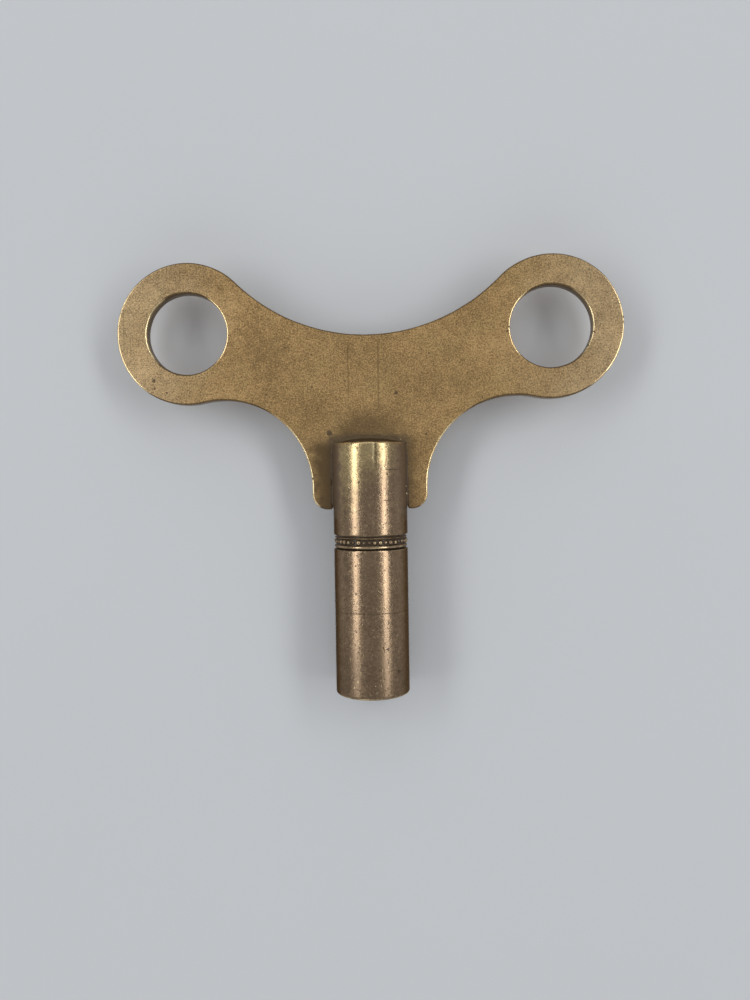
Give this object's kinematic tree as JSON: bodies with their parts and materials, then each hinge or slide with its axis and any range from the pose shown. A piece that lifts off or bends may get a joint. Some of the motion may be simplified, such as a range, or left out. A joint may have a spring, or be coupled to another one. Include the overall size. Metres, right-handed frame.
{
  "type": "radiator bleed key",
  "caption": "Flat brass key with a lobed bow, round finger holes and a banded round shank that ends in a square socket, for turning a radiator's bleed valve.",
  "frame": {"origin": "centre of the square socket's mouth, on the shank's axis", "axes": "+Y along the shank from the mouth to the bow, +X to the right wing, +Z out of the bow's face; the key lies flat"},
  "size_m": [0.0612, 0.0526, 0.009],
  "materials": {
    "bow_brass": "satin, tumbled",
    "shank_brass": "turned, browned with age",
    "solder": "dark, dull"
  },
  "bodies": {
    "root": {"bow_plate": "bow_brass", "shank": "shank_brass", "solder_joint": "solder"}
  },
  "joints": []
}
